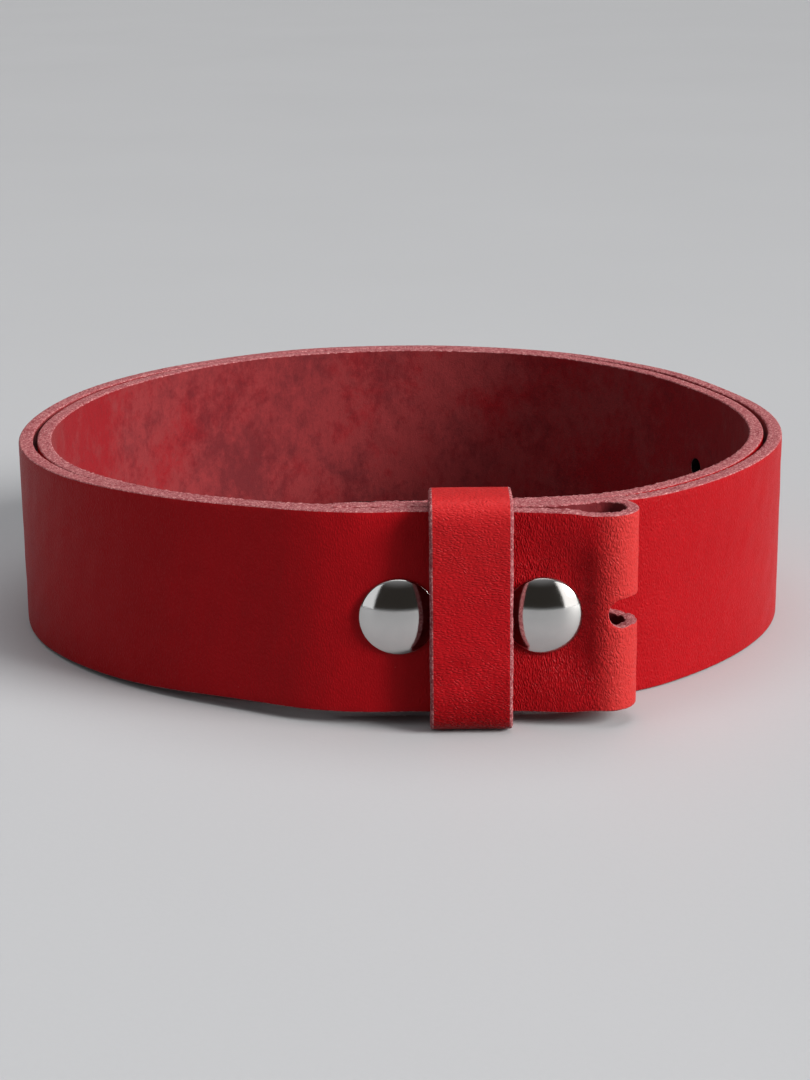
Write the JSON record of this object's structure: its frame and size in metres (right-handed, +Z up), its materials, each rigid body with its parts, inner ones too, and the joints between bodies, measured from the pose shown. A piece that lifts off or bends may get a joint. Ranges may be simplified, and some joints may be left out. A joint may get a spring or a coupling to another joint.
{
  "type": "belt strap",
  "caption": "Coiled leather belt strap for a removable buckle: folded end with prong slot, snap fasteners, sliding keeper and punched adjustment holes.",
  "frame": {"origin": "centre of the coil's footprint, on the surface that it stands on", "axes": "+X right, +Y from the folded end to the back of the coil, +Z up along the strap's width"},
  "size_m": [0.1664, 0.1738, 0.0454],
  "materials": {
    "strap_leather": "smooth dyed grain leather, pale suede flesh side and pale cut edges",
    "keeper_leather": "finely pebbled dyed grain leather",
    "nickel": "polished nickel plate",
    "brass": "plated brass",
    "steel": "bright steel wire"
  },
  "bodies": {
    "coil": {"strap_coil": "strap_leather"},
    "front": {"strap_front": "strap_leather", "left_cap": "nickel", "right_cap": "nickel", "left_socket": "brass", "right_socket": "brass", "left_spring": "steel", "right_spring": "steel", "left_stud": "brass", "right_stud": "brass", "left_post": "nickel", "right_post": "nickel"},
    "keeper": {"keeper": "keeper_leather", "keeper_staples": "steel"},
    "tip": {"strap_punched": "strap_leather", "strap_tip": "strap_leather"}
  },
  "joints": [
    {"name": "front_bend", "type": "hinge", "parent": "coil", "child": "front", "pos_m": [-0.07251, -0.03783, 0.02], "axis": [0, 0, -1], "range_deg": [0, 30], "stiffness_Nm_per_rad": 0.05},
    {"name": "keeper_slide", "type": "slide", "parent": "front", "child": "keeper", "axis": [1, 0, 0], "range_m": [-0.008, 0.009]},
    {"name": "tip_bend", "type": "hinge", "parent": "coil", "child": "tip", "pos_m": [0.05905, 0.05002, 0.02], "axis": [0, 0, -1], "range_deg": [0, 30], "stiffness_Nm_per_rad": 0.05}
  ]
}
